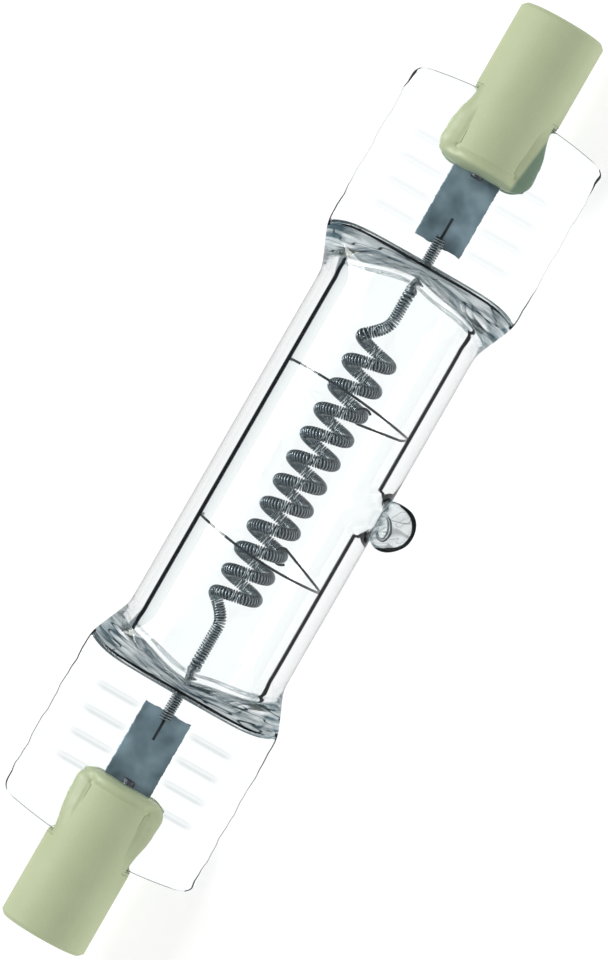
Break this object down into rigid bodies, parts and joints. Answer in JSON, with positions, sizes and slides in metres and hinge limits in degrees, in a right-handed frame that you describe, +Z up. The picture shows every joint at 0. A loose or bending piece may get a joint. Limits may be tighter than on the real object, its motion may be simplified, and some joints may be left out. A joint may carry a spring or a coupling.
{
  "type": "linear halogen bulb",
  "caption": "Double-ended linear halogen bulb: clear quartz tube with pressed ends, round ceramic bases with recessed contacts, coiled filament and an exhaust tip.",
  "frame": {"origin": "on the lamp's axis, halfway between its two base faces", "axes": "+X along the lamp's axis; +Z up, with the lamp lying as it comes to rest, tube and exhaust tip on the surface, so the pressed flats lean about X"},
  "size_m": [0.0782, 0.0145, 0.0132],
  "materials": {
    "quartz": "clear, polished",
    "steatite": "matt, pale yellow-green",
    "cement": "matt, grey-green",
    "contact_metal": "satin",
    "molybdenum_wire": "dull drawn wire",
    "molybdenum_foil": "dull, cloudy blue-grey",
    "tungsten": "dull drawn wire"
  },
  "bodies": {
    "root": {"quartz_envelope": "quartz", "filament": "tungsten", "ceramic_base_left": "steatite", "cement_left": "cement", "contact_left": "contact_metal", "outer_lead_left": "molybdenum_wire", "foil_left": "molybdenum_foil", "inner_lead_left": "molybdenum_wire", "support_ring_left": "tungsten", "ceramic_base_right": "steatite", "cement_right": "cement", "contact_right": "contact_metal", "outer_lead_right": "molybdenum_wire", "foil_right": "molybdenum_foil", "inner_lead_right": "molybdenum_wire", "support_ring_right": "tungsten"}
  },
  "joints": []
}
